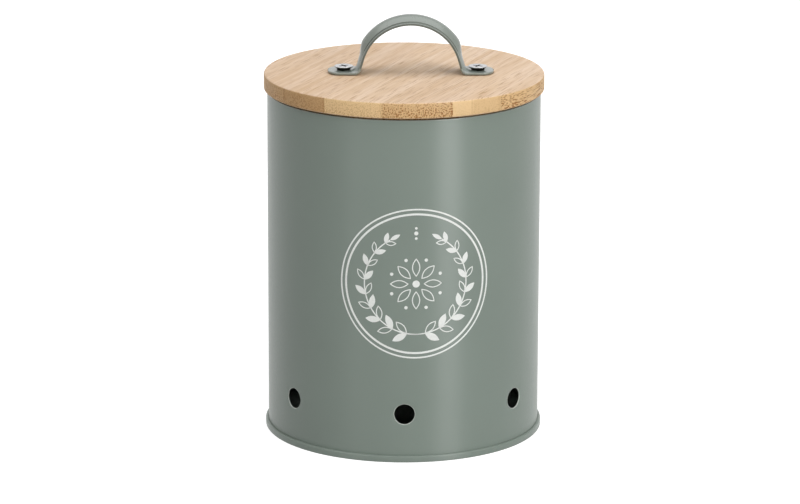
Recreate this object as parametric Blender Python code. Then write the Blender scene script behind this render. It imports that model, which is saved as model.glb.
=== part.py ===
"""Garlic keeper: a painted steel can with vent holes, a bamboo lid with a seal, and a strap handle.

Metres, +Z up. The origin is the centre of the circle that the can stands on, and -Y is the front.
Every outline is a list of corners (radius or x, height, corner radius), turned about the Z axis.
"""
from math import cos, pi, radians, sin, sqrt

import bmesh
import bpy
from mathutils import Matrix, Vector

MM = 0.001
FULL_TURN = 2 * pi
QUARTER_TURN = pi / 2

# Fits and mesh fineness
FIT_GAP = 0.3 * MM
CUT_OVERRUN = 2.0 * MM
MERGE_DISTANCE = 0.001 * MM
TURNED_SEGMENTS = 72
SMALL_SEGMENTS = 32
CORNER_STEPS = 3
SMOOTH_ANGLE = radians(40)

# Can wall: one rolled sheet
CAN_DIAMETER = 120.3 * MM
CAN_HEIGHT = 152.5 * MM
SHEET_THICKNESS = 0.5 * MM
EDGE_ROUND_SHARE = 0.45
HEM_DEPTH = 5.0 * MM
LAP_WIDTH = 6.0 * MM
LAP_RISE = 0.4 * MM
LAP_TOP_MARGIN = 2.0 * MM
LAP_STEPS = 3

# Vent holes: punched at an even pitch in the flat sheet, the middle one at the front
VENT_COUNT = 7
VENT_DIAMETER = 9.0 * MM
VENT_PITCH = 56.0 * MM
VENT_HEIGHT = 21.6 * MM

# Can base: a pressed panel whose edge wraps the wall's lower edge
SEAM_HEIGHT = 2.9 * MM
SEAM_WRAP = 1.0 * MM
PANEL_RECESS = 3.6 * MM
PANEL_CORNER = 0.8 * MM
BEAD_MARGIN = 10.2 * MM
BEAD_SLOPE = 2.0 * MM
BEAD_STEP = 1.0 * MM
STANDING_CORNER = 0.4 * MM

# Lid board: a flange and a plug, turned from one board
LID_DIAMETER = 123.2 * MM
LID_THICKNESS = 7.1 * MM
LID_STAND = 0.8 * MM
LID_TOP_CORNER = 0.8 * MM
LID_LOWER_CORNER = 0.4 * MM
PLUG_DEPTH = 11.0 * MM
PLUG_GAP = 2.5 * MM
PLUG_CORNER = 1.0 * MM
GROOVE_DROP = 3.2 * MM
GROOVE_HEIGHT = 4.0 * MM
GROOVE_DEPTH = 2.2 * MM

# Lid seal: a ring in the plug's groove, with two lips towards the mouth
LIP_ROOT_STAND = 0.4 * MM
LIP_ROOT_THICKNESS = 1.0 * MM
LIP_TIP_THICKNESS = 0.5 * MM
LIP_LIFT = 0.7 * MM

# Handle: a strap of sheet, its developed shape measured on the underside
STRAP_THICKNESS = 1.0 * MM
STRAP_WIDTH = 14.0 * MM
ARCH_RADIUS = 21.35 * MM
ARCH_ANGLE = radians(74)
LEG_LENGTH = 4.5 * MM
FOOT_BEND_RADIUS = 2.0 * MM
FOOT_LENGTH = 11.8 * MM
FOOT_WIDTH = 14.5 * MM
FOOT_TIP_LENGTH = 5.0 * MM
RIB_RISE = 2.8 * MM
RIB_MARGIN = 3.2 * MM
RIB_STEP_WIDTH = 0.5 * MM
RIB_STEP_SHARE = 0.5
RIB_FADE_START_SHARE = 0.75
RIB_LEG_SHARE = 0.42
GUSSET_RADIUS = 3.4 * MM
HANDLE_RIGHT_OF_CENTRE = 2.9 * MM
HANDLE_FRONT_OF_CENTRE = 1.5 * MM
ARCH_STEPS = 18
LEG_STEPS = 3
BEND_STEPS = 5
GUSSET_STEPS = 3
TIP_STEPS = 6
DOME_STEPS = 3
TIP_END_ANGLE = radians(80)

# Handle screws: countersunk wood screws with a cross recess
SCREW_HEAD_DIAMETER = 8.2 * MM
SCREW_HEAD_RIM = 0.2 * MM
SCREW_HEAD_STAND = 1.7 * MM
SCREW_SHANK_DIAMETER = 3.5 * MM
SCREW_LENGTH = 12.0 * MM
SCREW_POINT_LENGTH = 3.0 * MM
SCREW_FROM_TIP = 7.05 * MM
RECESS_LENGTH = 4.6 * MM
RECESS_WIDTH = 1.0 * MM
RECESS_DEPTH = 1.5 * MM
RECESS_FLOOR_SHARE = 0.4
SCREW_TURNS = {"left": radians(28), "right": radians(64)}

# Sizes that follow from the ones above
CAN_RADIUS = CAN_DIAMETER / 2
CAN_INNER_RADIUS = CAN_RADIUS - SHEET_THICKNESS
MOUTH_RADIUS = CAN_RADIUS - 2 * SHEET_THICKNESS
WALL_BOTTOM = SHEET_THICKNESS + FIT_GAP
CHUCK_RADIUS = CAN_INNER_RADIUS - FIT_GAP
WRAP_INNER_RADIUS = CAN_RADIUS + FIT_GAP
WRAP_OUTER_RADIUS = WRAP_INNER_RADIUS + SEAM_WRAP
LID_UNDERSIDE = CAN_HEIGHT + LID_STAND
LID_RADIUS = LID_DIAMETER / 2
PLUG_RADIUS = MOUTH_RADIUS - PLUG_GAP
GROOVE_RADIUS = PLUG_RADIUS - GROOVE_DEPTH
STRAP_UNDERSIDE = LID_THICKNESS + FIT_GAP
STRAP_TOP = STRAP_UNDERSIDE + STRAP_THICKNESS
BEND_UNDERSIDE_RADIUS = FOOT_BEND_RADIUS + STRAP_THICKNESS
ARCH_LENGTH = ARCH_RADIUS * ARCH_ANGLE
BEND_LENGTH = BEND_UNDERSIDE_RADIUS * ARCH_ANGLE
FOOT_START = (ARCH_RADIUS + BEND_UNDERSIDE_RADIUS) * sin(ARCH_ANGLE) + LEG_LENGTH * cos(ARCH_ANGLE)
ARCH_HEIGHT = (ARCH_RADIUS + BEND_UNDERSIDE_RADIUS) * (1 - cos(ARCH_ANGLE)) + LEG_LENGTH * sin(ARCH_ANGLE)
RIB_LEG_RISE = RIB_RISE * RIB_LEG_SHARE
GUSSET_UNDERSIDE_RADIUS = GUSSET_RADIUS + STRAP_THICKNESS
GUSSET_REACH = ((GUSSET_RADIUS - FOOT_BEND_RADIUS) * (1 - cos(ARCH_ANGLE)) + RIB_LEG_RISE) / sin(ARCH_ANGLE)
SCREW_REACH = FOOT_START + FOOT_LENGTH - SCREW_FROM_TIP
SCREW_CONE_DEPTH = SCREW_HEAD_STAND - SCREW_HEAD_RIM
SCREW_HOLE_RADIUS = SCREW_HEAD_DIAMETER / 2 - SCREW_CONE_DEPTH + FIT_GAP

PAINT = ("grey_green_paint", "7C867C", 0.42, 0.0)
BAMBOO = ("bamboo", "D2AE82", 0.55, 0.0)
SILICONE = ("silicone", "E4E2DC", 0.5, 0.0)
SCREW_STEEL = ("zinc_plated_steel", "C9C9CB", 0.3, 1.0)


def clear_scene():
    """Removes every object of the open scene."""
    for item in list(bpy.data.objects):
        bpy.data.objects.remove(item, do_unlink=True)


def linear(hex_colour):
    """An sRGB hex colour as linear red, green, blue and alpha."""
    levels = [int(hex_colour[i:i + 2], 16) / 255 for i in (0, 2, 4)]
    return [c / 12.92 if c <= 0.04045 else ((c + 0.055) / 1.055) ** 2.4 for c in levels] + [1.0]


def finish(name, hex_colour, roughness, metallic):
    """A Principled material, made once for each name."""
    material = bpy.data.materials.get(name) or bpy.data.materials.new(name)
    material.use_nodes = True
    shader = material.node_tree.nodes["Principled BSDF"]
    shader.inputs["Base Color"].default_value = linear(hex_colour)
    shader.inputs["Roughness"].default_value = roughness
    shader.inputs["Metallic"].default_value = metallic
    return material


def add_object(name, shape, material=None, parent=None, place=(0, 0, 0), turn=0.0):
    """Turns a bmesh into a smooth-shaded object."""
    mesh = bpy.data.meshes.new(name)
    shape.to_mesh(mesh)
    shape.free()
    mesh.shade_smooth()
    mesh.set_sharp_from_angle(angle=SMOOTH_ANGLE)
    if material:
        mesh.materials.append(finish(*material))
    item = bpy.data.objects.new(name, mesh)
    item.location = place
    item.rotation_euler = (0, 0, turn)
    item.parent = parent
    bpy.context.scene.collection.objects.link(item)
    return item


def add_axis(name, place, parent=None):
    """An empty on a moving body's axis, which carries its pieces."""
    axis = bpy.data.objects.new(name, None)
    axis.location = place
    axis.parent = parent
    bpy.context.scene.collection.objects.link(axis)
    return axis


def combine(target, tool, operation):
    """Adds a Boolean to the target and hides its tool."""
    tool.hide_render = True
    tool.display_type = "WIRE"
    step = target.modifiers.new(tool.name, "BOOLEAN")
    step.operation = operation
    step.solver = "EXACT"
    step.object = tool


def rounded(corners):
    """An outline whose corners (x, z, radius) are arcs of CORNER_STEPS steps."""
    points = []
    for index, (x, z, radius) in enumerate(corners):
        corner = Vector((x, z))
        if not radius:
            points.append(corner)
            continue
        before = (Vector(corners[index - 1][:2]) - corner).normalized()
        after = (Vector(corners[(index + 1) % len(corners)][:2]) - corner).normalized()
        half_angle = before.angle(after) / 2
        centre = corner + (before + after).normalized() * radius / sin(half_angle)
        reach = radius / sin(half_angle) * cos(half_angle)
        start = corner + before * reach - centre
        turn = start.angle_signed(corner + after * reach - centre)
        for step in range(CORNER_STEPS + 1):
            share = step / CORNER_STEPS
            points.append(centre + Matrix.Rotation(-turn * share, 2) @ start)
    return points


def turned(corners, closed, segments=TURNED_SEGMENTS):
    """Turns an outline about Z. An open outline starts and ends on the axis."""
    shape = bmesh.new()
    verts = [shape.verts.new((x, 0, z)) for x, z in rounded(corners)]
    edges = [shape.edges.new(pair) for pair in zip(verts, verts[1:])]
    if closed:
        edges.append(shape.edges.new((verts[-1], verts[0])))
    bmesh.ops.spin(shape, geom=verts + edges, cent=(0, 0, 0), axis=(0, 0, 1), angle=FULL_TURN,
                   steps=segments, use_merge=True)
    bmesh.ops.remove_doubles(shape, verts=shape.verts, dist=MERGE_DISTANCE)
    bmesh.ops.recalc_face_normals(shape, faces=shape.faces)
    return shape


def lap_strip():
    """The overlapping edge of the rolled sheet, at the back of the wall."""
    inner = CAN_RADIUS - SHEET_THICKNESS / 2
    outer = CAN_RADIUS + LAP_RISE
    low = SEAM_HEIGHT + FIT_GAP
    high = CAN_HEIGHT - LAP_TOP_MARGIN
    sweep = LAP_WIDTH / CAN_RADIUS
    shape = bmesh.new()
    corners = [(inner, low), (outer, low), (outer, high), (inner, high)]
    verts = [shape.verts.new((radius, 0, height)) for radius, height in corners]
    section = shape.faces.new(verts)
    start = Matrix.Rotation(QUARTER_TURN - sweep / 2, 3, "Z")
    bmesh.ops.rotate(shape, verts=verts, cent=(0, 0, 0), matrix=start)
    bmesh.ops.spin(shape, geom=verts + list(section.edges) + [section], cent=(0, 0, 0), axis=(0, 0, 1),
                   angle=sweep, steps=LAP_STEPS)
    bmesh.ops.recalc_face_normals(shape, faces=shape.faces)
    return shape


def vent_punches():
    """One radial punch for each vent hole, the row centred on the front."""
    shape = bmesh.new()
    pitch_angle = VENT_PITCH / CAN_RADIUS
    for index in range(VENT_COUNT):
        around = Matrix.Rotation((index - (VENT_COUNT - 1) / 2) * pitch_angle, 4, "Z")
        place = Matrix.Translation((0, -CAN_RADIUS, VENT_HEIGHT))
        bmesh.ops.create_cone(shape, cap_ends=True, segments=SMALL_SEGMENTS, radius1=VENT_DIAMETER / 2,
                              radius2=VENT_DIAMETER / 2, depth=2 * (SHEET_THICKNESS + CUT_OVERRUN),
                              matrix=around @ place @ Matrix.Rotation(QUARTER_TURN, 4, "X"))
    return shape


def build_can_wall():
    """The rolled wall: hemmed inwards at the mouth, lapped at the back, with its vent holes."""
    hem_round = 2 * SHEET_THICKNESS * EDGE_ROUND_SHARE
    corners = [
        (CAN_RADIUS, WALL_BOTTOM, 0),
        (CAN_RADIUS, CAN_HEIGHT, hem_round),
        (MOUTH_RADIUS, CAN_HEIGHT, hem_round),
        (MOUTH_RADIUS, CAN_HEIGHT - HEM_DEPTH, 0),
        (CAN_INNER_RADIUS, CAN_HEIGHT - HEM_DEPTH, 0),
        (CAN_INNER_RADIUS, WALL_BOTTOM, 0),
    ]
    wall = add_object("can_wall", turned(corners, closed=True), PAINT)
    combine(wall, add_object("lap_strip", lap_strip()), "UNION")
    combine(wall, add_object("vent_punches", vent_punches()), "DIFFERENCE")
    return wall


def build_can_base():
    """The pressed bottom: a beaded panel, a chuck wall and the rolled wrap that it stands on."""
    wrap_round = SEAM_WRAP * EDGE_ROUND_SHARE
    bead_outer = CHUCK_RADIUS - BEAD_MARGIN
    bead_inner = bead_outer - BEAD_SLOPE
    panel_under = PANEL_RECESS
    panel_top = panel_under + SHEET_THICKNESS
    chuck_inner = CHUCK_RADIUS - SHEET_THICKNESS
    corners = [
        (0, panel_top - BEAD_STEP, 0),
        (bead_inner, panel_top - BEAD_STEP, 0),
        (bead_outer, panel_top, 0),
        (CHUCK_RADIUS, panel_top, PANEL_CORNER),
        (CHUCK_RADIUS, SHEET_THICKNESS, 0),
        (WRAP_INNER_RADIUS, SHEET_THICKNESS, 0),
        (WRAP_INNER_RADIUS, SEAM_HEIGHT, wrap_round),
        (WRAP_OUTER_RADIUS, SEAM_HEIGHT, wrap_round),
        (WRAP_OUTER_RADIUS, 0, STANDING_CORNER),
        (chuck_inner, 0, STANDING_CORNER),
        (chuck_inner, panel_under, 0),
        (bead_outer, panel_under, 0),
        (bead_inner, panel_under - BEAD_STEP, 0),
        (0, panel_under - BEAD_STEP, 0),
    ]
    return add_object("can_base", turned(corners, closed=False), PAINT)


def screw_corners(clearance):
    """The screw's outline, from its head's top at height 0, grown by a clearance for its hole."""
    head = SCREW_HEAD_DIAMETER / 2 + clearance
    shank = SCREW_SHANK_DIAMETER / 2 + clearance
    cone_end = -SCREW_HEAD_RIM - (head - shank)
    tip = -SCREW_LENGTH - clearance
    return [
        (0, 0, 0),
        (head, 0, 0),
        (head, -SCREW_HEAD_RIM, 0),
        (shank, cone_end, 0),
        (shank, tip + SCREW_POINT_LENGTH, 0),
        (0, tip, 0),
    ]


def screw_place(side):
    """The top of a screw's head, from the lid's underside."""
    direction = -1 if side == "left" else 1
    return (HANDLE_RIGHT_OF_CENTRE + direction * SCREW_REACH, -HANDLE_FRONT_OF_CENTRE,
            STRAP_TOP + SCREW_HEAD_STAND)


def build_lid_board(axis):
    """The lid board: flange, plug, the seal's groove and two pilot holes for the screws."""
    groove_top = -GROOVE_DROP
    groove_bottom = groove_top - GROOVE_HEIGHT
    corners = [
        (0, LID_THICKNESS, 0),
        (LID_RADIUS, LID_THICKNESS, LID_TOP_CORNER),
        (LID_RADIUS, 0, LID_LOWER_CORNER),
        (PLUG_RADIUS, 0, 0),
        (PLUG_RADIUS, groove_top, 0),
        (GROOVE_RADIUS, groove_top, 0),
        (GROOVE_RADIUS, groove_bottom, 0),
        (PLUG_RADIUS, groove_bottom, 0),
        (PLUG_RADIUS, -PLUG_DEPTH, PLUG_CORNER),
        (0, -PLUG_DEPTH, 0),
    ]
    board = add_object("lid_board", turned(corners, closed=False), BAMBOO, axis)
    for side in ("left", "right"):
        drill = turned(screw_corners(FIT_GAP), closed=False, segments=SMALL_SEGMENTS)
        combine(board, add_object("pilot_drill_" + side, drill, None, axis, screw_place(side)), "DIFFERENCE")
    return board


def build_lid_seal(axis):
    """The seal: a band in the groove with two lips that rise towards the mouth."""
    inner = GROOVE_RADIUS + FIT_GAP
    root = PLUG_RADIUS + LIP_ROOT_STAND
    tip = MOUTH_RADIUS - FIT_GAP
    low = -GROOVE_DROP - GROOVE_HEIGHT + FIT_GAP
    high = -GROOVE_DROP - FIT_GAP
    corners = [(inner, high, 0), (inner, low, 0)]
    for lip in (low, high - LIP_ROOT_THICKNESS):
        corners += [
            (root, lip, 0),
            (tip, lip + LIP_LIFT, 0),
            (tip, lip + LIP_LIFT + LIP_TIP_THICKNESS, 0),
            (root, lip + LIP_ROOT_THICKNESS, 0),
        ]
    return add_object("lid_seal", turned(corners, closed=True), SILICONE, axis)


def strap_frame(reach):
    """Where the strap's underside is at a developed length from the crown, and its tilt from level."""
    if reach <= ARCH_LENGTH:
        tilt = reach / ARCH_RADIUS
        return ARCH_RADIUS * sin(tilt), ARCH_HEIGHT - ARCH_RADIUS * (1 - cos(tilt)), tilt
    leg_start = (ARCH_RADIUS * sin(ARCH_ANGLE), ARCH_HEIGHT - ARCH_RADIUS * (1 - cos(ARCH_ANGLE)))
    reach -= ARCH_LENGTH
    if reach <= LEG_LENGTH:
        return leg_start[0] + reach * cos(ARCH_ANGLE), leg_start[1] - reach * sin(ARCH_ANGLE), ARCH_ANGLE
    reach -= LEG_LENGTH
    tilt = max(ARCH_ANGLE - reach / BEND_UNDERSIDE_RADIUS, 0.0)
    along_foot = max(reach - BEND_LENGTH, 0.0)
    x = FOOT_START - BEND_UNDERSIDE_RADIUS * sin(tilt) + along_foot
    return x, BEND_UNDERSIDE_RADIUS * (1 - cos(tilt)), tilt


def eased(share):
    """A smooth step from 0 to 1."""
    share = min(max(share, 0.0), 1.0)
    return share * share * (3 - 2 * share)


def rib_rise(reach):
    """How high the rib's crown stands at a developed length.

    It fades from the arch's crown to the leg. Past that its crown line is the gusset's arc, which is
    tangent to the leg and to the foot.
    """
    if reach <= ARCH_LENGTH:
        fade = eased((reach / ARCH_LENGTH - RIB_FADE_START_SHARE) / (1 - RIB_FADE_START_SHARE))
        return RIB_RISE * (1 - (1 - RIB_LEG_SHARE) * fade)
    x, z, tilt = strap_frame(reach)
    from_centre = Vector((x - FOOT_START - GUSSET_REACH, z - GUSSET_UNDERSIDE_RADIUS))
    along = from_centre.dot(Vector((cos(tilt), -sin(tilt))))
    if reach <= ARCH_LENGTH + LEG_LENGTH:
        along = max(along, 0.0)
    if x >= FOOT_START:
        along = min(along, 0.0)
    return -from_centre.dot(Vector((sin(tilt), cos(tilt)))) - sqrt(GUSSET_UNDERSIDE_RADIUS ** 2 - along ** 2)


def half_strap():
    """Stations (developed length, half width, rib's rise) from the crown to a foot's tip."""
    turning = LEG_LENGTH + BEND_LENGTH
    foot_start = ARCH_LENGTH + turning
    reaches = [ARCH_LENGTH * step / ARCH_STEPS for step in range(ARCH_STEPS)]
    reaches += [ARCH_LENGTH + LEG_LENGTH * step / LEG_STEPS for step in range(LEG_STEPS)]
    reaches += [ARCH_LENGTH + LEG_LENGTH + BEND_LENGTH * step / BEND_STEPS for step in range(BEND_STEPS)]
    reaches += [foot_start + GUSSET_REACH * step / GUSSET_STEPS for step in range(GUSSET_STEPS + 1)]
    stations = []
    for reach in reaches:
        share = eased((reach - ARCH_LENGTH) / turning)
        stations.append((reach, (STRAP_WIDTH + (FOOT_WIDTH - STRAP_WIDTH) * share) / 2, rib_rise(reach)))
    tip_start = foot_start + FOOT_LENGTH - FOOT_TIP_LENGTH
    tip_stretch = FOOT_TIP_LENGTH / sin(TIP_END_ANGLE)
    for step in range(TIP_STEPS + 1):
        angle = TIP_END_ANGLE * step / TIP_STEPS
        stations.append((tip_start + tip_stretch * sin(angle), FOOT_WIDTH / 2 * cos(angle), 0.0))
    return stations


def strap_section():
    """Points (share of the half width, share of the rib's rise) across the strap."""
    half = STRAP_WIDTH / 2
    dome = (half - RIB_MARGIN - RIB_STEP_WIDTH) / half
    side = [(1.0, 0.0), ((half - RIB_MARGIN) / half, 0.0)]
    for step in range(DOME_STEPS):
        outward = 1 - step / DOME_STEPS
        side.append((dome * outward, 1 - (1 - RIB_STEP_SHARE) * outward ** 2))
    return [(-share, rise) for share, rise in side] + [(0.0, 1.0)] + side[::-1]


def bent_strap():
    """The strap's underside: a flat grid, bent along the path and pressed to the ribbed section."""
    half = half_strap()
    stations = [(-1, *station) for station in half[:0:-1]] + [(1, *station) for station in half]
    section = strap_section()
    shape = bmesh.new()
    bmesh.ops.create_grid(shape, x_segments=len(stations) - 1, y_segments=len(section) - 1, size=1)
    for vert in shape.verts:
        column = round((vert.co.x + 1) / 2 * (len(stations) - 1))
        row = round((vert.co.y + 1) / 2 * (len(section) - 1))
        side, reach, half_width, crown_rise = stations[column]
        width_share, rise_share = section[row]
        x, z, tilt = strap_frame(reach)
        rise = crown_rise * rise_share
        vert.co = (side * (x + rise * sin(tilt)), width_share * half_width, z + rise * cos(tilt))
    bmesh.ops.recalc_face_normals(shape, faces=shape.faces)
    if sum(face.normal.z for face in shape.faces) < 0:
        bmesh.ops.reverse_faces(shape, faces=shape.faces)
    return shape


def build_handle(axis):
    """The handle: the bent strap given its thickness, with a screw hole in each foot."""
    place = (HANDLE_RIGHT_OF_CENTRE, -HANDLE_FRONT_OF_CENTRE, STRAP_UNDERSIDE)
    handle = add_object("handle", bent_strap(), PAINT, axis, place)
    sheet = handle.modifiers.new("sheet", "SOLIDIFY")
    sheet.thickness = STRAP_THICKNESS
    sheet.offset = 1.0
    sheet.use_even_offset = True
    sheet.use_quality_normals = True
    for side in ("left", "right"):
        punch = bmesh.new()
        bmesh.ops.create_cone(punch, cap_ends=True, segments=SMALL_SEGMENTS, radius1=SCREW_HOLE_RADIUS,
                              radius2=SCREW_HOLE_RADIUS, depth=2 * (STRAP_THICKNESS + CUT_OVERRUN))
        combine(handle, add_object("foot_punch_" + side, punch, None, axis, screw_place(side)), "DIFFERENCE")
    return handle


def recess_wing():
    """One of the two crossed slots of a screw's recess: a wedge, at full length where it leaves the head."""
    shape = bmesh.new()
    size = Matrix.Diagonal((RECESS_LENGTH, RECESS_WIDTH, 2 * RECESS_DEPTH, 1))
    cube = bmesh.ops.create_cube(shape, size=1, matrix=size)
    for vert in cube["verts"]:
        vert.co.x *= RECESS_FLOOR_SHARE if vert.co.z < 0 else 2 - RECESS_FLOOR_SHARE
    return shape


def build_handle_screw(side, axis):
    """A handle screw, its recess turned as it was left when driven home."""
    place = screw_place(side)
    shape = turned(screw_corners(0), closed=False, segments=SMALL_SEGMENTS)
    screw = add_object("handle_screw_" + side, shape, SCREW_STEEL, axis, place)
    for index in range(2):
        turn = SCREW_TURNS[side] + index * QUARTER_TURN
        wing = add_object(f"recess_{side}_{index}", recess_wing(), None, axis, place, turn)
        combine(screw, wing, "DIFFERENCE")
    return screw


def main():
    """Builds the keeper's pieces."""
    clear_scene()
    build_can_wall()
    build_can_base()
    lift_axis = add_axis("lid_lift_axis", (0, 0, LID_UNDERSIDE))
    turn_axis = add_axis("lid_turn_axis", (0, 0, 0), lift_axis)
    build_lid_seal(lift_axis)
    build_lid_board(turn_axis)
    build_handle(turn_axis)
    for side in ("left", "right"):
        build_handle_screw(side, turn_axis)
    bpy.context.view_layer.update()


main()
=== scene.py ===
"""Looks of a garlic keeper: a vented and printed steel can, and a bamboo lid with a seal and a handle.

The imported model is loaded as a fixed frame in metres, +Z up, with -Y as the front. Each sub-assembly is
a class that builds fine meshes where the frame's nodes are and dresses them with its finishes.
"""

import logging
from collections.abc import Callable, Iterable, Sequence
from dataclasses import dataclass, field
from enum import Enum, IntEnum
from math import cos, pi, radians, sin, sqrt
from typing import Any

import bmesh
import bpy
from bmesh.types import BMEdge, BMesh, BMFace, BMVert
from bpy.types import ID, Material, Mesh, Node, NodeSocket as Socket, NodeTree, Object
from mathutils import Matrix, Vector


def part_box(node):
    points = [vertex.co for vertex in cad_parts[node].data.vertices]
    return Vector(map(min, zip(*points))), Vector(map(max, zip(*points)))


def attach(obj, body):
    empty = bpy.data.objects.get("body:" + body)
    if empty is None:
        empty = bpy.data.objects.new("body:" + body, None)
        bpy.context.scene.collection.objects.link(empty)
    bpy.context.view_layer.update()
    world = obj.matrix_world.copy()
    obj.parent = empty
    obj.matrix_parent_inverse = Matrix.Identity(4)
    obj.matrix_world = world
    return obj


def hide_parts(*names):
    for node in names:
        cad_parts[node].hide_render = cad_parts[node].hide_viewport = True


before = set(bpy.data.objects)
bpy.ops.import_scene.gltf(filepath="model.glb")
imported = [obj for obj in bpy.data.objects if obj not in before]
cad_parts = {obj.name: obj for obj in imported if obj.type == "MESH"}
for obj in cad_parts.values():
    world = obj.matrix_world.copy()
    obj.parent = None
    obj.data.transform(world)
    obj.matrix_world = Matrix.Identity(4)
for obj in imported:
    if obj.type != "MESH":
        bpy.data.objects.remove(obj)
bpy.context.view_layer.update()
log = logging.getLogger("keeper")

MM = 0.001
FULL_TURN = 2 * pi
QUARTER_TURN = pi / 2
FIT_GAP = 0.3 * MM
MERGE_DISTANCE = 0.001 * MM
CORNER_STEPS = 4
EDGE_STEPS = 3
SMOOTH_ANGLE = radians(35)
SHARP_ANGLE = radians(60)

# The middle range that a noise texture's values mostly fill.
NOISE_LOW = 0.3
NOISE_HIGH = 0.7
# A wave texture makes this many waves in each unit of its coordinates.
WAVES_PER_UNIT = 10 / pi

Corner = tuple[float, float, float]
Colour = tuple[float, float, float, float]
Span = tuple[float, float]


class Body(Enum):
    """The bodies that pieces ride on."""

    CAN = "can"
    SEAL = "seal"
    LID = "lid"


class Slot(Enum):
    """The record's material slots."""

    CAN_PAINT = "can_paint"
    PRINT_INK = "print_ink"
    BAMBOO = "bamboo"
    SILICONE = "silicone"
    HANDLE_PAINT = "handle_paint"
    SCREW_STEEL = "screw_steel"


class Area(IntEnum):
    """The areas of a piece that have a finish of their own, by their faces' material numbers."""

    MAIN = 0
    EDGE = 1
    HEM = 2


class Side(Enum):
    """The handle's two feet, by their direction along X."""

    LEFT = -1
    RIGHT = 1

    @property
    def screw_node(self) -> str:
        """The name of the frame's screw node in this foot."""
        return "handle_screw_" + self.name.lower()


def linear(hex_colour: str) -> Colour:
    """Turns an sRGB hex colour to linear light.

    Args:
        hex_colour: Six hex digits.

    Returns:
        Linear red, green and blue, and an alpha of 1.
    """
    levels = [int(hex_colour[i:i + 2], 16) / 255 for i in (0, 2, 4)]
    red, green, blue = (c / 12.92 if c <= 0.04045 else ((c + 0.055) / 1.055) ** 2.4 for c in levels)
    return red, green, blue, 1.0


def grey(level: float) -> Colour:
    """A grey of a linear level."""
    return level, level, level, 1.0


def polar(radius: float, angle: float) -> Vector:
    """The flat point at a radius and an angle from x."""
    return Vector((radius * cos(angle), radius * sin(angle), 0))


def eased(share: float) -> float:
    """A smooth step from 0 to 1."""
    share = min(max(share, 0.0), 1.0)
    return share * share * (3 - 2 * share)


def add_node(tree: NodeTree, kind: str, inputs: dict[str | int, Any] | None = None,
             **settings: Any) -> Node:
    """Adds a node with its settings and links.

    Args:
        tree: The node tree that gets the node.
        kind: The node's type.
        inputs: A value or an output socket for each named or numbered input.
        settings: The node's own properties.

    Returns:
        The new node.
    """
    node = tree.nodes.new(kind)
    for name, value in settings.items():
        setattr(node, name, value)
    for name, value in (inputs or {}).items():
        if isinstance(value, Socket):
            tree.links.new(value, node.inputs[name])
        else:
            node.inputs[name].default_value = value
    return node


def set_stops(ramp: Node, stops: Sequence[tuple[float, Colour]], interpolation: str = "LINEAR") -> None:
    """Fills a colour ramp.

    Args:
        ramp: A Color Ramp node.
        stops: Positions from 0 to 1, each with its colour, in order.
        interpolation: The ramp's interpolation.
    """
    ramp.color_ramp.interpolation = interpolation
    elements = ramp.color_ramp.elements
    while len(elements) < len(stops):
        elements.new(1.0)
    for element, (position, colour) in zip(elements, stops):
        element.position = position
        element.color = colour


def make_mesh(name: str, shape: BMesh) -> Mesh:
    """Makes a mesh of a shape.

    Args:
        name: The mesh's name.
        shape: The shape, which is used up.

    Returns:
        The mesh.
    """
    mesh = bpy.data.meshes.new(name)
    shape.to_mesh(mesh)
    shape.free()
    return mesh


def place_object(name: str, data: ID) -> Object:
    """Adds an object to the scene.

    Args:
        name: The object's name.
        data: Its mesh, lamp or camera.

    Returns:
        The new object, at the origin.
    """
    placed = bpy.data.objects.new(name, data)
    bpy.context.scene.collection.objects.link(placed)
    return placed


def draw_profile(shape: BMesh, corners: Sequence[Corner], closed: bool) -> None:
    """Draws an outline in the XZ plane and rounds its corners.

    Args:
        shape: The mesh that gets the outline.
        corners: Radius or x, height and corner radius of each corner.
        closed: Whether the last corner joins the first.
    """
    verts = [shape.verts.new((x, 0, z)) for x, z, _ in corners]
    for pair in zip(verts, verts[1:]):
        shape.edges.new(pair)
    if closed:
        shape.edges.new((verts[-1], verts[0]))
    for vert, (_, _, radius) in zip(verts, corners):
        if radius:
            bmesh.ops.bevel(shape, geom=[vert], offset=radius, offset_type="OFFSET", segments=CORNER_STEPS,
                            profile=0.5, affect="VERTICES", material=-1)


def turned(corners: Sequence[Corner], closed: bool, segments: int) -> BMesh:
    """Turns an outline about Z.

    Args:
        corners: The outline, as draw_profile takes it. An open one starts and ends on the axis.
        closed: Whether the outline is a loop.
        segments: The steps in a full turn.

    Returns:
        A closed shape with its faces pointing out.
    """
    shape = bmesh.new()
    draw_profile(shape, corners, closed)
    bmesh.ops.spin(shape, geom=shape.verts[:] + shape.edges[:], cent=(0, 0, 0), axis=(0, 0, 1),
                   angle=FULL_TURN, steps=segments, use_merge=True)
    bmesh.ops.remove_doubles(shape, verts=shape.verts, dist=MERGE_DISTANCE)
    bmesh.ops.recalc_face_normals(shape, faces=shape.faces)
    return shape


def cut_planes(shape: BMesh, places: Iterable[float], direction: tuple[int, int, int]) -> None:
    """Adds edges where planes square to a direction cross a shape.

    Args:
        shape: The shape that gets the edges.
        places: The planes' distances from the origin.
        direction: The direction that the distances run in.
    """
    for place in places:
        bmesh.ops.bisect_plane(shape, geom=shape.verts[:] + shape.edges[:] + shape.faces[:],
                               dist=MERGE_DISTANCE, plane_co=Vector(direction) * place, plane_no=direction)


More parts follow.
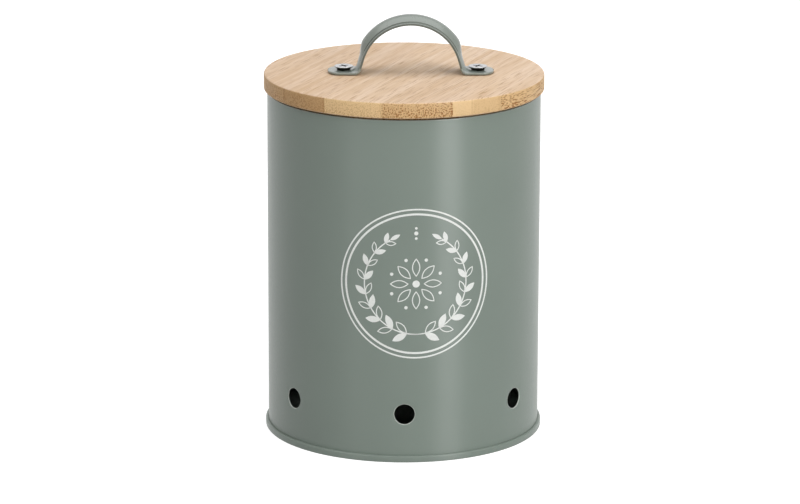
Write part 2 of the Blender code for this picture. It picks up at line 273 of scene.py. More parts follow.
def punch(shape: BMesh, patch: Sequence[BMFace], radius: float,
          place: Callable[[float, float], Vector]) -> list[BMEdge]:
    """Replaces a block of faces by a ring of faces round a circular hole.

    Args:
        shape: The mesh that gets the hole.
        patch: The block of faces that the hole lies in.
        radius: The hole's radius.
        place: Gives a point's place from its offsets across and up from the hole's centre.

    Returns:
        The edges of the hole's rim.
    """
    inside = set(patch)
    border = {edge for face in patch for edge in face.edges if not inside.issuperset(edge.link_faces)}
    bmesh.ops.delete(shape, geom=list(patch), context="FACES")
    circle = bmesh.ops.create_circle(shape, cap_ends=False, radius=radius, segments=len(border))["verts"]
    for vert in circle:
        vert.co = place(vert.co.x, vert.co.y)
    rim = list({edge for vert in circle for edge in vert.link_edges})
    bmesh.ops.bridge_loops(shape, edges=list(border) + rim)
    return rim


def round_edges(shape: BMesh, edges: Sequence[BMEdge], width: float, area: Area = Area.MAIN) -> None:
    """Rounds edges over.

    Args:
        shape: The mesh that the edges are in.
        edges: The edges.
        width: How far from each edge its rounding starts.
        area: The area of the piece that the new faces count to.
    """
    made = bmesh.ops.bevel(shape, geom=list(edges), offset=width, offset_type="OFFSET", segments=EDGE_STEPS,
                           profile=0.5, affect="EDGES", material=-1)
    for face in made["faces"]:
        face.material_index = area


def sharp_edges(shape: BMesh) -> list[BMEdge]:
    """The edges where two faces meet at a sharp angle."""
    return [edge for edge in shape.edges if edge.is_manifold and edge.calc_face_angle() > SHARP_ANGLE]


def carved(shape: BMesh, tools: Sequence[BMesh]) -> BMesh:
    """Cuts tools out of a shape with exact Booleans.

    Args:
        shape: The shape that is cut, which is used up.
        tools: The shapes that are taken away, which are used up.

    Returns:
        What is left of the shape.
    """
    blocks = [place_object("carving", make_mesh("carving", part)) for part in (shape, *tools)]
    for tool in blocks[1:]:
        step = blocks[0].modifiers.new("cut", "BOOLEAN")
        step.operation = "DIFFERENCE"
        step.solver = "EXACT"
        step.object = tool
    left = bmesh.new()
    left.from_object(blocks[0], bpy.context.evaluated_depsgraph_get())
    for block in blocks:
        mesh = block.data
        bpy.data.objects.remove(block)
        bpy.data.meshes.remove(mesh)
    return left


def add_piece(name: str, shape: BMesh, body: Body,
              finishes: Sequence[Material], replaces: str | None = None) -> Object:
    """Makes a smooth-shaded piece that rides on a body.

    Args:
        name: The piece's name.
        shape: Its mesh at its place, which is used up.
        body: The body that it moves with.
        finishes: Its materials, in the order of its areas.
        replaces: The frame's node that it stands for, if any.

    Returns:
        The new piece.
    """
    mesh = make_mesh(name, shape)
    mesh.shade_smooth()
    mesh.set_sharp_from_angle(angle=SMOOTH_ANGLE)
    for finish in finishes:
        mesh.materials.append(finish)
    piece = place_object(name, mesh)
    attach(piece, body.value)
    if replaces:
        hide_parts(replaces)
    log.info("%s: %d faces, rides on %s", name, len(mesh.polygons), body.value)
    return piece


@dataclass(frozen=True)
class Finish:
    """A procedural material with one Principled shader."""

    name: str

    def start(self) -> tuple[Material, NodeTree, Node, Socket]:
        """Makes the bare material.

        Returns:
            The material, its node tree, its shader and the piece's own coordinates in metres.
        """
        material = bpy.data.materials.new(self.name)
        material.use_nodes = True
        tree = material.node_tree
        coordinates = add_node(tree, "ShaderNodeTexCoord").outputs["Object"]
        return material, tree, tree.nodes["Principled BSDF"], coordinates

    def noise(self, tree: NodeTree, vector: Socket, width: float, detail: float = 1.0) -> Socket:
        """A noise from 0 to 1 whose marks are about as wide as given, in metres."""
        return add_node(tree, "ShaderNodeTexNoise",
                        {"Vector": vector, "Scale": 1 / width, "Detail": detail}).outputs["Fac"]

    def remap(self, tree: NodeTree, value: Socket, low: float, high: float, to_low: float = 0.0,
              to_high: float = 1.0) -> Socket:
        """Maps a value from one range to another, and clamps it.

        Args:
            tree: The material's node tree.
            value: The value.
            low: What becomes to_low.
            high: What becomes to_high.
            to_low: The new value at low.
            to_high: The new value at high.

        Returns:
            The new value.
        """
        return add_node(tree, "ShaderNodeMapRange",
                        {"Value": value, "From Min": low, "From Max": high, "To Min": to_low,
                         "To Max": to_high}).outputs["Result"]

    def spread(self, tree: NodeTree, noise: Socket, span: Span) -> Socket:
        """Spreads a noise over a span of values."""
        return self.remap(tree, noise, NOISE_LOW, NOISE_HIGH, *span)

    def combined(self, tree: NodeTree, operation: str, first: Socket, second: Socket | float,
                 clamp: bool = False) -> Socket:
        """Combines two values by a mathematical operation."""
        return add_node(tree, "ShaderNodeMath", {0: first, 1: second}, operation=operation,
                        use_clamp=clamp).outputs["Value"]

    def mottle(self, tree: NodeTree, shader: Node, colour: str, noise: Socket, tones: Span) -> None:
        """Gives the shader a colour whose brightness a noise varies between two shares of it.

        Args:
            tree: The material's node tree.
            shader: Its shader.
            colour: The full colour, as six hex digits.
            noise: The noise.
            tones: The least and the greatest share of the full brightness.
        """
        varied = add_node(tree, "ShaderNodeHueSaturation",
                          {"Value": self.spread(tree, noise, tones), "Color": linear(colour)})
        tree.links.new(varied.outputs["Color"], shader.inputs["Base Color"])

    def dull(self, tree: NodeTree, shader: Node, noise: Socket, span: Span) -> None:
        """Gives the shader a roughness that a noise varies over a span."""
        tree.links.new(self.spread(tree, noise, span), shader.inputs["Roughness"])

    def emboss(self, tree: NodeTree, shader: Node, height: Socket, depth: float,
               strength: float = 1.0) -> None:
        """Gives the shader a relief.

        Args:
            tree: The material's node tree.
            shader: Its shader.
            height: The relief's height, from 0 to 1.
            depth: What the whole height stands for, in metres.
            strength: How much of the relief shows, from 0 to 1.
        """
        bump = add_node(tree, "ShaderNodeBump",
                        {"Height": height, "Strength": strength, "Distance": depth})
        tree.links.new(bump.outputs["Normal"], shader.inputs["Normal"])

    def mix(self, tree: NodeTree, share: Socket | float, first: Socket | Colour,
            second: Socket | Colour) -> Socket:
        """Mixes two colours by a share."""
        return add_node(tree, "ShaderNodeMix", {"Factor": share, "A": first, "B": second},
                        data_type="RGBA").outputs["Result"]


@dataclass(frozen=True)
class PowderCoat(Finish):
    """Polyester powder coat on sheet steel, sprayed dry and baked.

    It melts to an even satin film, so the eye sees one soft colour, broad highlights and, close up, a
    faint orange peel. On rolled sheet it keeps a lie round the can, which draws highlights out upright.
    Where the film is thick it flows out to a clearer gloss over the satin. The lie's turn is a share of a
    full turn.
    """

    colour: str = "7A867D"
    tone_drift: float = 0.025
    roughness: float = 0.42
    roughness_drift: float = 0.03
    ior: float = 1.56
    lie: float = 0.0
    lie_turn: float = 0.25
    gloss: float = 0.0
    gloss_roughness: float = 0.14
    cloud_width: float = 40 * MM
    peel_width: float = 1.1 * MM
    peel_depth: float = 0.006 * MM

    def make(self) -> Material:
        """Builds the material.

        Returns:
            The finished material.
        """
        material, tree, shader, coordinates = self.start()
        clouds = self.noise(tree, coordinates, self.cloud_width, detail=2.0)
        peel = self.noise(tree, coordinates, self.peel_width)
        self.mottle(tree, shader, self.colour, clouds, (1 - self.tone_drift, 1 + self.tone_drift))
        self.dull(tree, shader, peel,
                  (self.roughness - self.roughness_drift, self.roughness + self.roughness_drift))
        self.emboss(tree, shader, peel, self.peel_depth)
        if self.lie:
            around = add_node(tree, "ShaderNodeVectorMath", {0: (0.0, 0.0, 1.0), 1: coordinates},
                              operation="CROSS_PRODUCT")
            tree.links.new(around.outputs["Vector"], shader.inputs["Tangent"])
            shader.inputs["Anisotropic"].default_value = self.lie
            shader.inputs["Anisotropic Rotation"].default_value = self.lie_turn
        shader.inputs["IOR"].default_value = self.ior
        shader.inputs["Coat Weight"].default_value = self.gloss
        shader.inputs["Coat Roughness"].default_value = self.gloss_roughness
        return material


@dataclass(frozen=True)
class ScreenInk(Finish):
    """White ink, screen printed on the flat sheet and cured.

    The mesh leaves it nearly opaque with a slight mottle, and a little rougher than the coat around it.
    """

    colour: str = "F3F5F1"
    tones: Span = (0.93, 1.0)
    roughness: Span = (0.48, 0.6)
    mottle_width: float = 0.9 * MM

    def make(self) -> Material:
        """Builds the material.

        Returns:
            The finished material.
        """
        material, tree, shader, coordinates = self.start()
        marks = self.noise(tree, coordinates, self.mottle_width, detail=2.0)
        self.mottle(tree, shader, self.colour, marks, self.tones)
        self.dull(tree, shader, marks, self.roughness)
        return material


@dataclass(frozen=True)
class Stave:
    """One stave of the board.

    Its edge is how far across the grain it starts. Its shade is how brown it is and its speckle how
    plainly its cut bundles show, both from 0 to 1.
    """

    edge: float
    shade: float
    speckle: float


@dataclass(frozen=True)
class Bamboo(Finish):
    """Laminated bamboo board, glued from staves, sanded and lightly oiled.

    Along the grain the eye sees pale straw with short brown dashes, which are cut fibre bundles. Across
    the grain the same bundles end in a speckle, darker because end grain drinks the oil. Each stave has
    its own tone and its own speckle, plainer towards its lower side, with a thin glue line between
    staves. A real bundle is about 0.3 mm thick, and it is drawn coarser so that it shows.
    """

    radius: float
    underside: float
    top: float
    grain_angle: float = radians(67)
    staves: tuple[Stave, ...] = (
        Stave(-61.6 * MM, 0.42, 0.4),
        Stave(-35.2 * MM, 0.48, 0.3),
        Stave(-12.2 * MM, 0.02, 0.4),
        Stave(14.1 * MM, 0.25, 0.8),
        Stave(41.0 * MM, 0.02, 0.1),
        Stave(47.8 * MM, 0.16, 0.15),
        Stave(55.6 * MM, 0.18, 0.75),
    )
    glue_line: float = 0.35 * MM
    glue_shade: float = 0.35
    pale: str = "F2D7BC"
    straw: str = "E4C4A1"
    dash: str = "C39B72"
    end_pale: str = "EDCA96"
    end_dark: str = "9A6224"
    # How much browner the plug is drawn, as painted shade for the gap under the lid.
    gap_painted_shade: float = 0.35
    plug_fade: float = 1 * MM
    brown_share: float = 0.4
    bundle_width: float = 0.5 * MM
    bundle_length: float = 10 * MM
    bundle_span: Span = (0.58, 0.72)
    end_bundle_width: float = 0.55 * MM
    end_bundle_span: Span = (0.48, 0.62)
    end_strengths: Span = (1.25, 0.55)
    streak_width: float = 2.6 * MM
    streak_length: float = 60 * MM
    streak_span: Span = (0.35, 0.65)
    cluster_width: float = 9 * MM
    cluster_span: Span = (0.4, 0.6)
    cluster_strengths: Span = (0.35, 0.9)
    flat_span: Span = (0.45, 0.75)
    roughness: Span = (0.5, 0.62)
    relief: float = 0.03 * MM
    relief_strength: float = 0.6
    ior: float = 1.45

    def fibres(self, tree: NodeTree, grain: Socket, length: float, width: float,
               detail: float = 1.0) -> Socket:
        """A noise drawn out along the grain, with marks of a length and a width in metres."""
        drawn = add_node(tree, "ShaderNodeMapping", {"Vector": grain, "Scale": (width / length, 1.0, 1.0)})
        return self.noise(tree, drawn.outputs["Vector"], width, detail)

    def share(self, place: float) -> float:
        """How far across the board a place is, from 0 to 1."""
        return (place + self.radius) / (2 * self.radius)

    def stave_looks(self, tree: NodeTree, grain: Socket) -> tuple[Socket, Socket, Socket]:
        """What the staves differ in at a point.

        Args:
            tree: The material's node tree.
            grain: Coordinates that are turned along the grain.

        Returns:
            The stave's shade, its speckle and how near the point is to a glue line.
        """
        place = add_node(tree, "ShaderNodeSeparateXYZ", {"Vector": grain}).outputs["Y"]
        across = self.remap(tree, place, self.radius, -self.radius)
        looks = add_node(tree, "ShaderNodeValToRGB", {"Fac": across})
        set_stops(looks, [(self.share(stave.edge), (stave.shade, stave.speckle, 0.0, 1.0))
                          for stave in self.staves], "CONSTANT")
        parts = add_node(tree, "ShaderNodeSeparateColor", {"Color": looks.outputs["Color"]})
        glue = add_node(tree, "ShaderNodeValToRGB", {"Fac": across})
        stops = [(0.0, grey(0.0))]
        for stave in self.staves[1:]:
            for offset, level in ((-self.glue_line, 0.0), (0.0, 1.0), (self.glue_line, 0.0)):
                stops.append((self.share(stave.edge + offset), grey(level)))
        set_stops(glue, stops)
        return parts.outputs["Red"], parts.outputs["Green"], glue.outputs["Color"]

    def end_grain(self, tree: NodeTree, speckle: Socket, height: Socket,
                  looks: tuple[Socket, Socket, Socket]) -> Socket:
        """Mixes the colour of the board's edge and of its plug, whose wood is drawn browner as painted
        shade for the gap under the lid.

        Args:
            tree: The material's node tree.
            speckle: The noise of the cut bundles' ends.
            height: The height above the standing plane.
            looks: What the staves differ in, as stave_looks gives it.

        Returns:
            The colour.
        """
        shade, strength, glue = looks
        spots = self.remap(tree, speckle, *self.end_bundle_span)
        plainer = self.remap(tree, height, self.underside, self.top, *self.end_strengths)
        for factor in (strength, plainer):
            spots = self.combined(tree, "MULTIPLY", spots, factor)
        line = self.combined(tree, "MULTIPLY", glue, self.glue_shade)
        # Below the flange the plug turns browner: painted shade in the gap between the lid and the can.
        plug = self.remap(tree, height, self.underside, self.underside - self.plug_fade, 0.0,
                          self.gap_painted_shade)
        for extra in (spots, line, plug):
            shade = self.combined(tree, "ADD", shade, extra, clamp=True)
        return self.mix(tree, shade, linear(self.end_pale), linear(self.end_dark))

    def side_grain(self, tree: NodeTree, grain: Socket, streaks: Socket, bundles: Socket,
                   shade: Socket) -> Socket:
        """Mixes the colour along the grain, for the board's top and underside.

        Args:
            tree: The material's node tree.
            grain: Coordinates that are turned along the grain.
            streaks: The noise of long pale and straw streaks.
            bundles: The noise of short cut bundles.
            shade: How brown the stave is.

        Returns:
            The colour.
        """
        plain = self.mix(tree, self.remap(tree, streaks, *self.streak_span), linear(self.pale),
                         linear(self.straw))
        groups = self.fibres(tree, grain, self.streak_length, self.cluster_width, detail=2.0)
        clusters = self.remap(tree, groups, *self.cluster_span, *self.cluster_strengths)
        dashes = self.combined(tree, "MULTIPLY", self.remap(tree, bundles, *self.bundle_span), clusters)
        dashed = self.mix(tree, dashes, plain, linear(self.dash))
        browner = self.remap(tree, shade, 0.0, 1.0, 0.0, self.brown_share)
        return self.mix(tree, browner, dashed, linear(self.dash))

    def make(self) -> Material:
        """Builds the material.

        Returns:
            The finished material.
        """
        material, tree, shader, coordinates = self.start()
        turn = add_node(tree, "ShaderNodeMapping",
                        {"Vector": coordinates, "Rotation": (0, 0, -self.grain_angle)})
        grain = turn.outputs["Vector"]
        looks = self.stave_looks(tree, grain)
        height = add_node(tree, "ShaderNodeSeparateXYZ", {"Vector": coordinates}).outputs["Z"]
        streaks = self.fibres(tree, grain, self.streak_length, self.streak_width, detail=2.0)
        bundles = self.fibres(tree, grain, self.bundle_length, self.bundle_width, detail=0.0)
        speckle = self.fibres(tree, grain, self.bundle_length, self.end_bundle_width)
        side = self.side_grain(tree, grain, streaks, bundles, looks[0])
        end = self.end_grain(tree, speckle, height, looks)

        facing = add_node(tree, "ShaderNodeSeparateXYZ",
                          {"Vector": add_node(tree, "ShaderNodeTexCoord").outputs["Normal"]})
        level = add_node(tree, "ShaderNodeMath", {0: facing.outputs["Z"]}, operation="ABSOLUTE")
        flat = self.remap(tree, level.outputs["Value"], *self.flat_span)
        tree.links.new(self.mix(tree, flat, end, side), shader.inputs["Base Color"])
        self.dull(tree, shader, streaks, self.roughness)
        fibres = self.mix(tree, 0.5, bundles, speckle)
        self.emboss(tree, shader, fibres, self.relief, self.relief_strength)
        shader.inputs["IOR"].default_value = self.ior
        return material


@dataclass(frozen=True)
class Silicone(Finish):
    """Moulded silicone rubber, unfilled and milky.

    Light goes a little way in, so the thin lips glow, and the moulded skin is soft and dull.
    """

    colour: str = "E6E4DE"
    tones: Span = (0.95, 1.0)
    roughness: Span = (0.4, 0.5)
    milkiness: float = 0.4
    depth: float = 1.2 * MM
    ior: float = 1.41
    haze_width: float = 3 * MM

    def make(self) -> Material:
        """Builds the material.

        Returns:
            The finished material.
        """
        material, tree, shader, coordinates = self.start()
        haze = self.noise(tree, coordinates, self.haze_width, detail=2.0)
        self.mottle(tree, shader, self.colour, haze, self.tones)
        self.dull(tree, shader, haze, self.roughness)
        shader.inputs["Subsurface Weight"].default_value = self.milkiness
        shader.inputs["Subsurface Scale"].default_value = self.depth
        shader.inputs["IOR"].default_value = self.ior
        return material


@dataclass(frozen=True)
class ZincPlate(Finish):
    """Bright zinc plate on a turned steel screw.

    The eye sees a cool mirror broken by fine rings from the turning, with a slight grey bloom.
    """

    centre: tuple[float, float, float]
    colour: str = "CFD0D2"
    tones: Span = (0.9, 1.0)
    roughness: Span = (0.24, 0.36)
    ring_width: float = 0.3 * MM
    ring_depth: float = 0.004 * MM
    ring_waver: float = 0.5
    bloom_width: float = 1.5 * MM

    def make(self) -> Material:
        """Builds the material, with its rings about the screw's own axis.

        Returns:
            The finished material.
        """
        material, tree, shader, coordinates = self.start()
        own = add_node(tree, "ShaderNodeMapping",
                       {"Vector": coordinates, "Location": [-place for place in self.centre]})
        rings = add_node(tree, "ShaderNodeTexWave",
                         {"Vector": own.outputs["Vector"], "Scale": 1 / (WAVES_PER_UNIT * self.ring_width),
                          "Distortion": self.ring_waver},
                         wave_type="RINGS", rings_direction="Z")
        bloom = self.noise(tree, coordinates, self.bloom_width, detail=2.0)
        self.mottle(tree, shader, self.colour, bloom, self.tones)
        self.dull(tree, shader, bloom, self.roughness)
        self.emboss(tree, shader, rings.outputs["Fac"], self.ring_depth)
        shader.inputs["Metallic"].default_value = 1.0
        return material


@dataclass
class Can:
    """The can: a rolled wall with vent holes, hemmed at the mouth, and a pressed base rolled over it."""

    radius: float
    bottom: float
    top: float
    sheet: float = 0.5 * MM
    segments: int = 360
    edge_round: float = 0.45 * MM
    hem_depth: float = 5 * MM
    hem_edge_round: float = 0.2 * MM
    vent_count: int = 7
    vent_radius: float = 4.5 * MM
    vent_pitch: float = 56 * MM
    vent_height: float = 21.6 * MM
    vent_rim_round: float = 0.22 * MM
    vent_inner_round: float = 0.12 * MM
    block_half: float = 6.3 * MM
    block_rows: int = 12
    lap_width: float = 6 * MM
    lap_rise: float = 0.4 * MM
    lap_round: float = 0.16 * MM
    lap_top_margin: float = 2 * MM
    lap_columns: int = 12
    lap_rows: int = 2
    seam_height: float = 2.9 * MM
    seam_wrap: float = 1.0 * MM
    wrap_gap: float = 0.06 * MM
    wrap_round: float = 0.6 * MM
    wrap_tuck_round: float = 0.12 * MM
    standing_corner: float = 0.4 * MM
    panel_recess: float = 3.6 * MM
    panel_corner: float = 0.8 * MM
    bead_margin: float = 10.2 * MM
    bead_slope: float = 2 * MM
    bead_step: float = 1 * MM
    bead_round: float = 0.5 * MM

    @classmethod
    def from_frame(cls) -> "Can":
        """Reads the wall's radius and ends from the frame."""
        low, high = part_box("can_wall")
        return cls(radius=high.x, bottom=low.z, top=high.z)

    def bent(self, radius: float, azimuth: float, across: float, height: float) -> Vector:
        """Where a point of the flat sheet ends up when it is rolled.

        Args:
            radius: The radius that the point lies at.
            azimuth: The angle from the front that the offset is measured from.
            across: The offset to the right, measured along the wall's outer face.
            height: The height above the standing plane.

        Returns:
            The point's place on the can.
        """
        angle = azimuth + across / self.radius
        return Vector((radius * sin(angle), -radius * cos(angle), height))

    def skin_block(self, shape: BMesh, azimuth: float, outer: bool) -> list[BMFace]:
        """The block of faces round a vent hole's place, on the wall's outer or inner face.

        Args:
            shape: The wall.
            azimuth: The angle from the front that the hole lies at.
            outer: Whether the outer face is meant.

        Returns:
            The faces.
        """
        middle = self.radius - self.sheet / 2
        towards = self.bent(self.radius, azimuth, 0.0, 0.0).xy.normalized()
        half_width = self.radius * sin(self.block_half / self.radius)
        block = []
        for face in shape.faces:
            centre = face.calc_center_median()
            if abs(centre.z - self.vent_height) > self.block_half or (centre.xy.length > middle) != outer:
                continue
            if centre.xy.dot(towards) > 0 and abs(centre.xy.cross(towards)) < half_width:
                block.append(face)
        return block

    def punch_vent(self, shape: BMesh, azimuth: float) -> None:
        """Punches one vent hole through both faces of the wall and rounds its rims.

        Args:
            shape: The wall.
            azimuth: The angle from the front that the hole lies at.
        """
        rims = []
        for outer in (True, False):
            radius = self.radius if outer else self.radius - self.sheet
            rims.append(punch(shape, self.skin_block(shape, azimuth, outer), self.vent_radius,
                              lambda x, y, r=radius: self.bent(r, azimuth, x, self.vent_height + y)))
        bmesh.ops.bridge_loops(shape, edges=rims[0] + rims[1])
        # The vents' rounded rims take the pale coat: worn paint and a painted highlight.
        round_edges(shape, rims[0], self.vent_rim_round, Area.EDGE)
        round_edges(shape, [edge for edge in rims[1] if edge.is_valid], self.vent_inner_round, Area.EDGE)

    def wall(self) -> BMesh:
        """Rolls the wall, hems its mouth and punches its vent holes.

        Returns:
            The wall.
        """
        inner = self.radius - self.sheet
        mouth = self.radius - 2 * self.sheet
        corners = [
            (self.radius, self.bottom, 0),
            (self.radius, self.top, self.edge_round),
            (mouth, self.top, self.edge_round),
            (mouth, self.top - self.hem_depth, self.hem_edge_round),
            (inner, self.top - self.hem_depth, 0),
            (inner, self.bottom, 0),
        ]
        shape = turned(corners, closed=True, segments=self.segments)
        for face in shape.faces:
            if face.calc_center_median().z > self.top - self.edge_round:
                face.material_index = Area.HEM
        step = 2 * self.block_half / self.block_rows
        rows = [self.vent_height - self.block_half + step * row for row in range(self.block_rows + 1)]
        cut_planes(shape, rows, (0, 0, 1))
        for index in range(self.vent_count):
            self.punch_vent(shape, (index - (self.vent_count - 1) / 2) * self.vent_pitch / self.radius)
        bmesh.ops.recalc_face_normals(shape, faces=shape.faces)
        return shape

    def lap(self) -> BMesh:
        """Lays the sheet's overlapping edge on the back of the wall.

        Returns:
            The lap, which reaches into the wall's thickness.
        """
        shape = bmesh.new()
        bmesh.ops.create_grid(shape, x_segments=self.lap_columns, y_segments=self.lap_rows, size=1)
        low = self.seam_height + FIT_GAP
        high = self.top - self.lap_top_margin
        depth = 1
        bmesh.ops.solidify(shape, geom=shape.faces[:], thickness=depth)
        for vert in shape.verts:
            outer = vert.co.z > -depth / 2
            radius = self.radius + (self.lap_rise if outer else -self.sheet / 2)
            height = low + (high - low) * (vert.co.y + 1) / 2
            vert.co = self.bent(radius, pi, vert.co.x * self.lap_width / 2, height)
        bmesh.ops.recalc_face_normals(shape, faces=shape.faces)
        round_edges(shape, sharp_edges(shape), self.lap_round)
        return shape

    def base(self) -> BMesh:
        """Presses the base: a beaded panel, a chuck wall and the rolled wrap that the can stands on.

        Returns:
            The base.
        """
        wrap_inner = self.radius + self.wrap_gap
        wrap_outer = self.radius + FIT_GAP + self.seam_wrap
        chuck = self.radius - self.sheet - FIT_GAP
        bead_outer = chuck - self.bead_margin
        bead_inner = bead_outer - self.bead_slope
        under = self.panel_recess
        upper = under + self.sheet
        corners = [
            (0, upper - self.bead_step, 0),
            (bead_inner, upper - self.bead_step, self.bead_round),
            (bead_outer, upper, self.bead_round),
            (chuck, upper, self.panel_corner),
            (chuck, self.sheet, 0),
            (wrap_inner, self.sheet, 0),
            (wrap_inner, self.seam_height, self.wrap_tuck_round),
            (wrap_outer, self.seam_height, self.wrap_round),
            (wrap_outer, 0, self.standing_corner),
            (chuck - self.sheet, 0, self.standing_corner),
            (chuck - self.sheet, under, self.sheet),
            (bead_outer, under, self.bead_round),
            (bead_inner, under - self.bead_step, self.bead_round),
            (0, under - self.bead_step, 0),
        ]
        return turned(corners, closed=False, segments=self.segments)

    def build(self, coat: Material, rim_wear_and_highlight: Material, thick_coat: Material) -> None:
        """Adds the can's pieces.

        Args:
            coat: The can's paint.
            rim_wear_and_highlight: The paint where it is worn thin over a punched rim, drawn pale as a
                painted highlight.
            thick_coat: The paint where it pools along the hem's edge.
        """
        finishes = [coat, rim_wear_and_highlight, thick_coat]
        add_piece("can_wall_sheet", self.wall(), Body.CAN, finishes, "can_wall")
        add_piece("can_side_lap", self.lap(), Body.CAN, [coat])
        add_piece("can_base_panel", self.base(), Body.CAN, [coat], "can_base")


@dataclass
class FrontPrint:
    """A white print on the can's front: a double ring round a leaf wreath and a rosette.

    It is drawn flat, with x to the right, y up and z off the wall, and then wrapped on the can.
    """

    can: Can
    azimuth: float = radians(4.62)
    centre_height: float = 80.2 * MM
    film: float = 0.03 * MM
    lift: float = 0.01 * MM
    ring_segments: int = 180
    outer_ring: tuple[float, float] = (33.4 * MM, 32.7 * MM)
    inner_ring: tuple[float, float] = (31.4 * MM, 30.5 * MM)
    wreath_radius: float = 22.5 * MM
    stem_width: float = 0.55 * MM
    stem_start: float = radians(8)
    stem_end: float = radians(150)
    stem_steps: int = 90
    leaf_count: int = 9
    leaf_length: float = 7.2 * MM
    leaf_width: float = 3.1 * MM
    leaf_lean: float = radians(38)
    leaf_segments: int = 24
    first_leaf_share: float = 0.6
    leaf_shrink_share: float = 0.35
    tip_leaf_shares: tuple[float, float] = (0.7, 0.6)
    outline: float = 0.42 * MM
    petal_count: int = 8
    petal_root: float = 3.2 * MM
    petal_length: float = 8.2 * MM
    petal_width: float = 3.6 * MM
    berry_radius: float = 0.75 * MM
    top_berry_step: float = 2.25 * MM
    top_berry_shares: tuple[float, ...] = (0.8, 1.2, 0.8)
    heart_radius: float = 1.6 * MM
    dot_segments: int = 20
    bend_step: float = 1.2 * MM
    shape: BMesh = field(default_factory=bmesh.new)

    def ring(self, outer: float, inner: float) -> None:
        """Draws a ring between two radii.

        Args:
            outer: The outer radius.
            inner: The inner radius.
        """
        edges = []
        for radius in (outer, inner):
            circle = bmesh.ops.create_circle(self.shape, cap_ends=False, radius=radius,
                                             segments=self.ring_segments)["verts"]
            edges += {edge for vert in circle for edge in vert.link_edges}
        bmesh.ops.bridge_loops(self.shape, edges=edges)

    def dot(self, centre: Vector, radius: float) -> None:
        """Draws a filled dot."""
        bmesh.ops.create_circle(self.shape, cap_ends=True, radius=radius, segments=self.dot_segments,
                                matrix=Matrix.Translation(centre))

    def leaf(self, root: Vector, direction: float, length: float, width: float, filled: bool) -> None:
        """Draws a pointed leaf, filled or as an outline.

        Args:
            root: The place of the leaf's foot.
            direction: The way that it points, as an angle from x.
            length: Its length.
            width: Its greatest width.
            filled: Whether it is filled.
        """
        blade = bmesh.ops.create_circle(self.shape, cap_ends=True, radius=1,
                                        segments=self.leaf_segments)["verts"]
        for vert in blade:
            vert.co = Vector(((vert.co.x + 1) * length / 2, vert.co.y * abs(vert.co.y) * width / 2, 0))
        bmesh.ops.transform(self.shape, verts=blade,
                            matrix=Matrix.Translation(root) @ Matrix.Rotation(direction, 4, "Z"))
        if filled:
            return
        face = blade[0].link_faces[0]
        bmesh.ops.inset_region(self.shape, faces=[face], thickness=self.outline, use_even_offset=True,
                               use_boundary=True)
        bmesh.ops.delete(self.shape, geom=[face], context="FACES_ONLY")

    def stem(self, side: int) -> None:
        """Draws one curved stem of the wreath, from near the bottom up one side.

        Args:
            side: 1 for the right side and -1 for the left.
        """
        half = self.stem_width / 2
        start = self.shape.verts.new((0, -self.wreath_radius - half, 0))
        end = self.shape.verts.new((0, -self.wreath_radius + half, 0))
        edge = self.shape.edges.new((start, end))
        bmesh.ops.rotate(self.shape, verts=[start, end], cent=(0, 0, 0),
                         matrix=Matrix.Rotation(-side * self.stem_start, 3, "Z"))
        bmesh.ops.spin(self.shape, geom=[start, end, edge], cent=(0, 0, 0), axis=(0, 0, 1),
                       angle=side * (self.stem_end + self.stem_start), steps=self.stem_steps)

    def sprig(self, side: int) -> None:
        """Draws a stem with a leaf at its tip and pairs of leaves, one of each pair filled.

        Args:
            side: 1 for the right side and -1 for the left.
        """
        self.stem(side)
        for index in range(self.leaf_count):
            swept = self.stem_end * (index + self.first_leaf_share) / self.leaf_count
            angle = -QUARTER_TURN + side * swept
            root = polar(self.wreath_radius, angle)
            along = angle + side * QUARTER_TURN
            size = 1 - self.leaf_shrink_share * index / self.leaf_count
            for way, lean in enumerate((-self.leaf_lean, self.leaf_lean)):
                self.leaf(root, along + side * lean, self.leaf_length * size, self.leaf_width * size,
                          filled=index % 2 == way)
        angle = -QUARTER_TURN + side * self.stem_end
        length_share, width_share = self.tip_leaf_shares
        self.leaf(polar(self.wreath_radius, angle), angle + side * QUARTER_TURN,
                  self.leaf_length * length_share, self.leaf_width * width_share, filled=True)

    def rosette(self) -> None:
        """Draws a flower of outlined petals with dots between them."""
        self.dot(Vector(), self.heart_radius)
        for index in range(self.petal_count):
            angle = FULL_TURN * index / self.petal_count
            root = polar(self.petal_root, angle)
            self.leaf(root, angle, self.petal_length, self.petal_width, filled=False)
            between = angle + pi / self.petal_count
            self.dot(polar(self.petal_root + self.petal_length, between), self.berry_radius)

    def build(self, ink: Material) -> None:
        """Draws the print, gives it its film's thickness, wraps it and adds it.

        Args:
            ink: The print's ink.
        """
        self.ring(*self.outer_ring)
        self.ring(*self.inner_ring)
        for side in (-1, 1):
            self.sprig(side)
        self.rosette()
        for index, share in enumerate(self.top_berry_shares, start=-1):
            centre = Vector((0, self.wreath_radius + index * self.top_berry_step, 0))
            self.dot(centre, self.berry_radius * share)
        steps = int(self.outer_ring[0] / self.bend_step)
        cut_planes(self.shape, [self.bend_step * step for step in range(-steps, steps + 1)], (1, 0, 0))
        bmesh.ops.recalc_face_normals(self.shape, faces=self.shape.faces)
        bmesh.ops.reverse_faces(self.shape, faces=[face for face in self.shape.faces if face.normal.z < 0])
        bmesh.ops.solidify(self.shape, geom=self.shape.faces[:], thickness=self.film)
        for vert in self.shape.verts:
            radius = self.can.radius + self.lift + self.film + vert.co.z
            vert.co = self.can.bent(radius, self.azimuth, vert.co.x, self.centre_height + vert.co.y)
        bmesh.ops.recalc_face_normals(self.shape, faces=self.shape.faces)
        add_piece("front_print", self.shape, Body.CAN, [ink])


